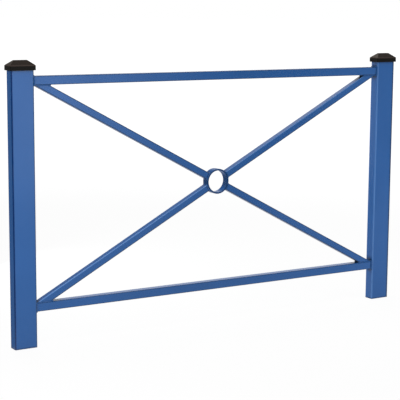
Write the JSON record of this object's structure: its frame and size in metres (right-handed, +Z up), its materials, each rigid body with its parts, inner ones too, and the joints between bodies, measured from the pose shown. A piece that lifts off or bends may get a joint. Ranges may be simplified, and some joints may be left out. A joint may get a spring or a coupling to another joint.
{
  "type": "pedestrian guard railing",
  "caption": "Blue coated steel guard railing bay with capped rectangular posts, a top and a bottom rail, and a cross of bars that meet at a centre ring.",
  "frame": {"origin": "middle of the left post's foot, at ground level, seen from the front", "axes": "+X along the railing towards the right post, +Y across it and away from the front, +Z up"},
  "size_m": [1.59, 0.05, 0.957],
  "materials": {
    "blue_coating": "satin powder coating with a slight orange peel",
    "cap_plastic": "moulded dark brown-black plastic"
  },
  "bodies": {
    "root": {"left_post": "blue_coating", "right_post": "blue_coating", "top_rail": "blue_coating", "bottom_rail": "blue_coating", "upper_left_bar": "blue_coating", "upper_right_bar": "blue_coating", "lower_left_bar": "blue_coating", "lower_right_bar": "blue_coating", "centre_ring": "blue_coating", "left_post_cap": "cap_plastic", "right_post_cap": "cap_plastic"}
  },
  "joints": []
}
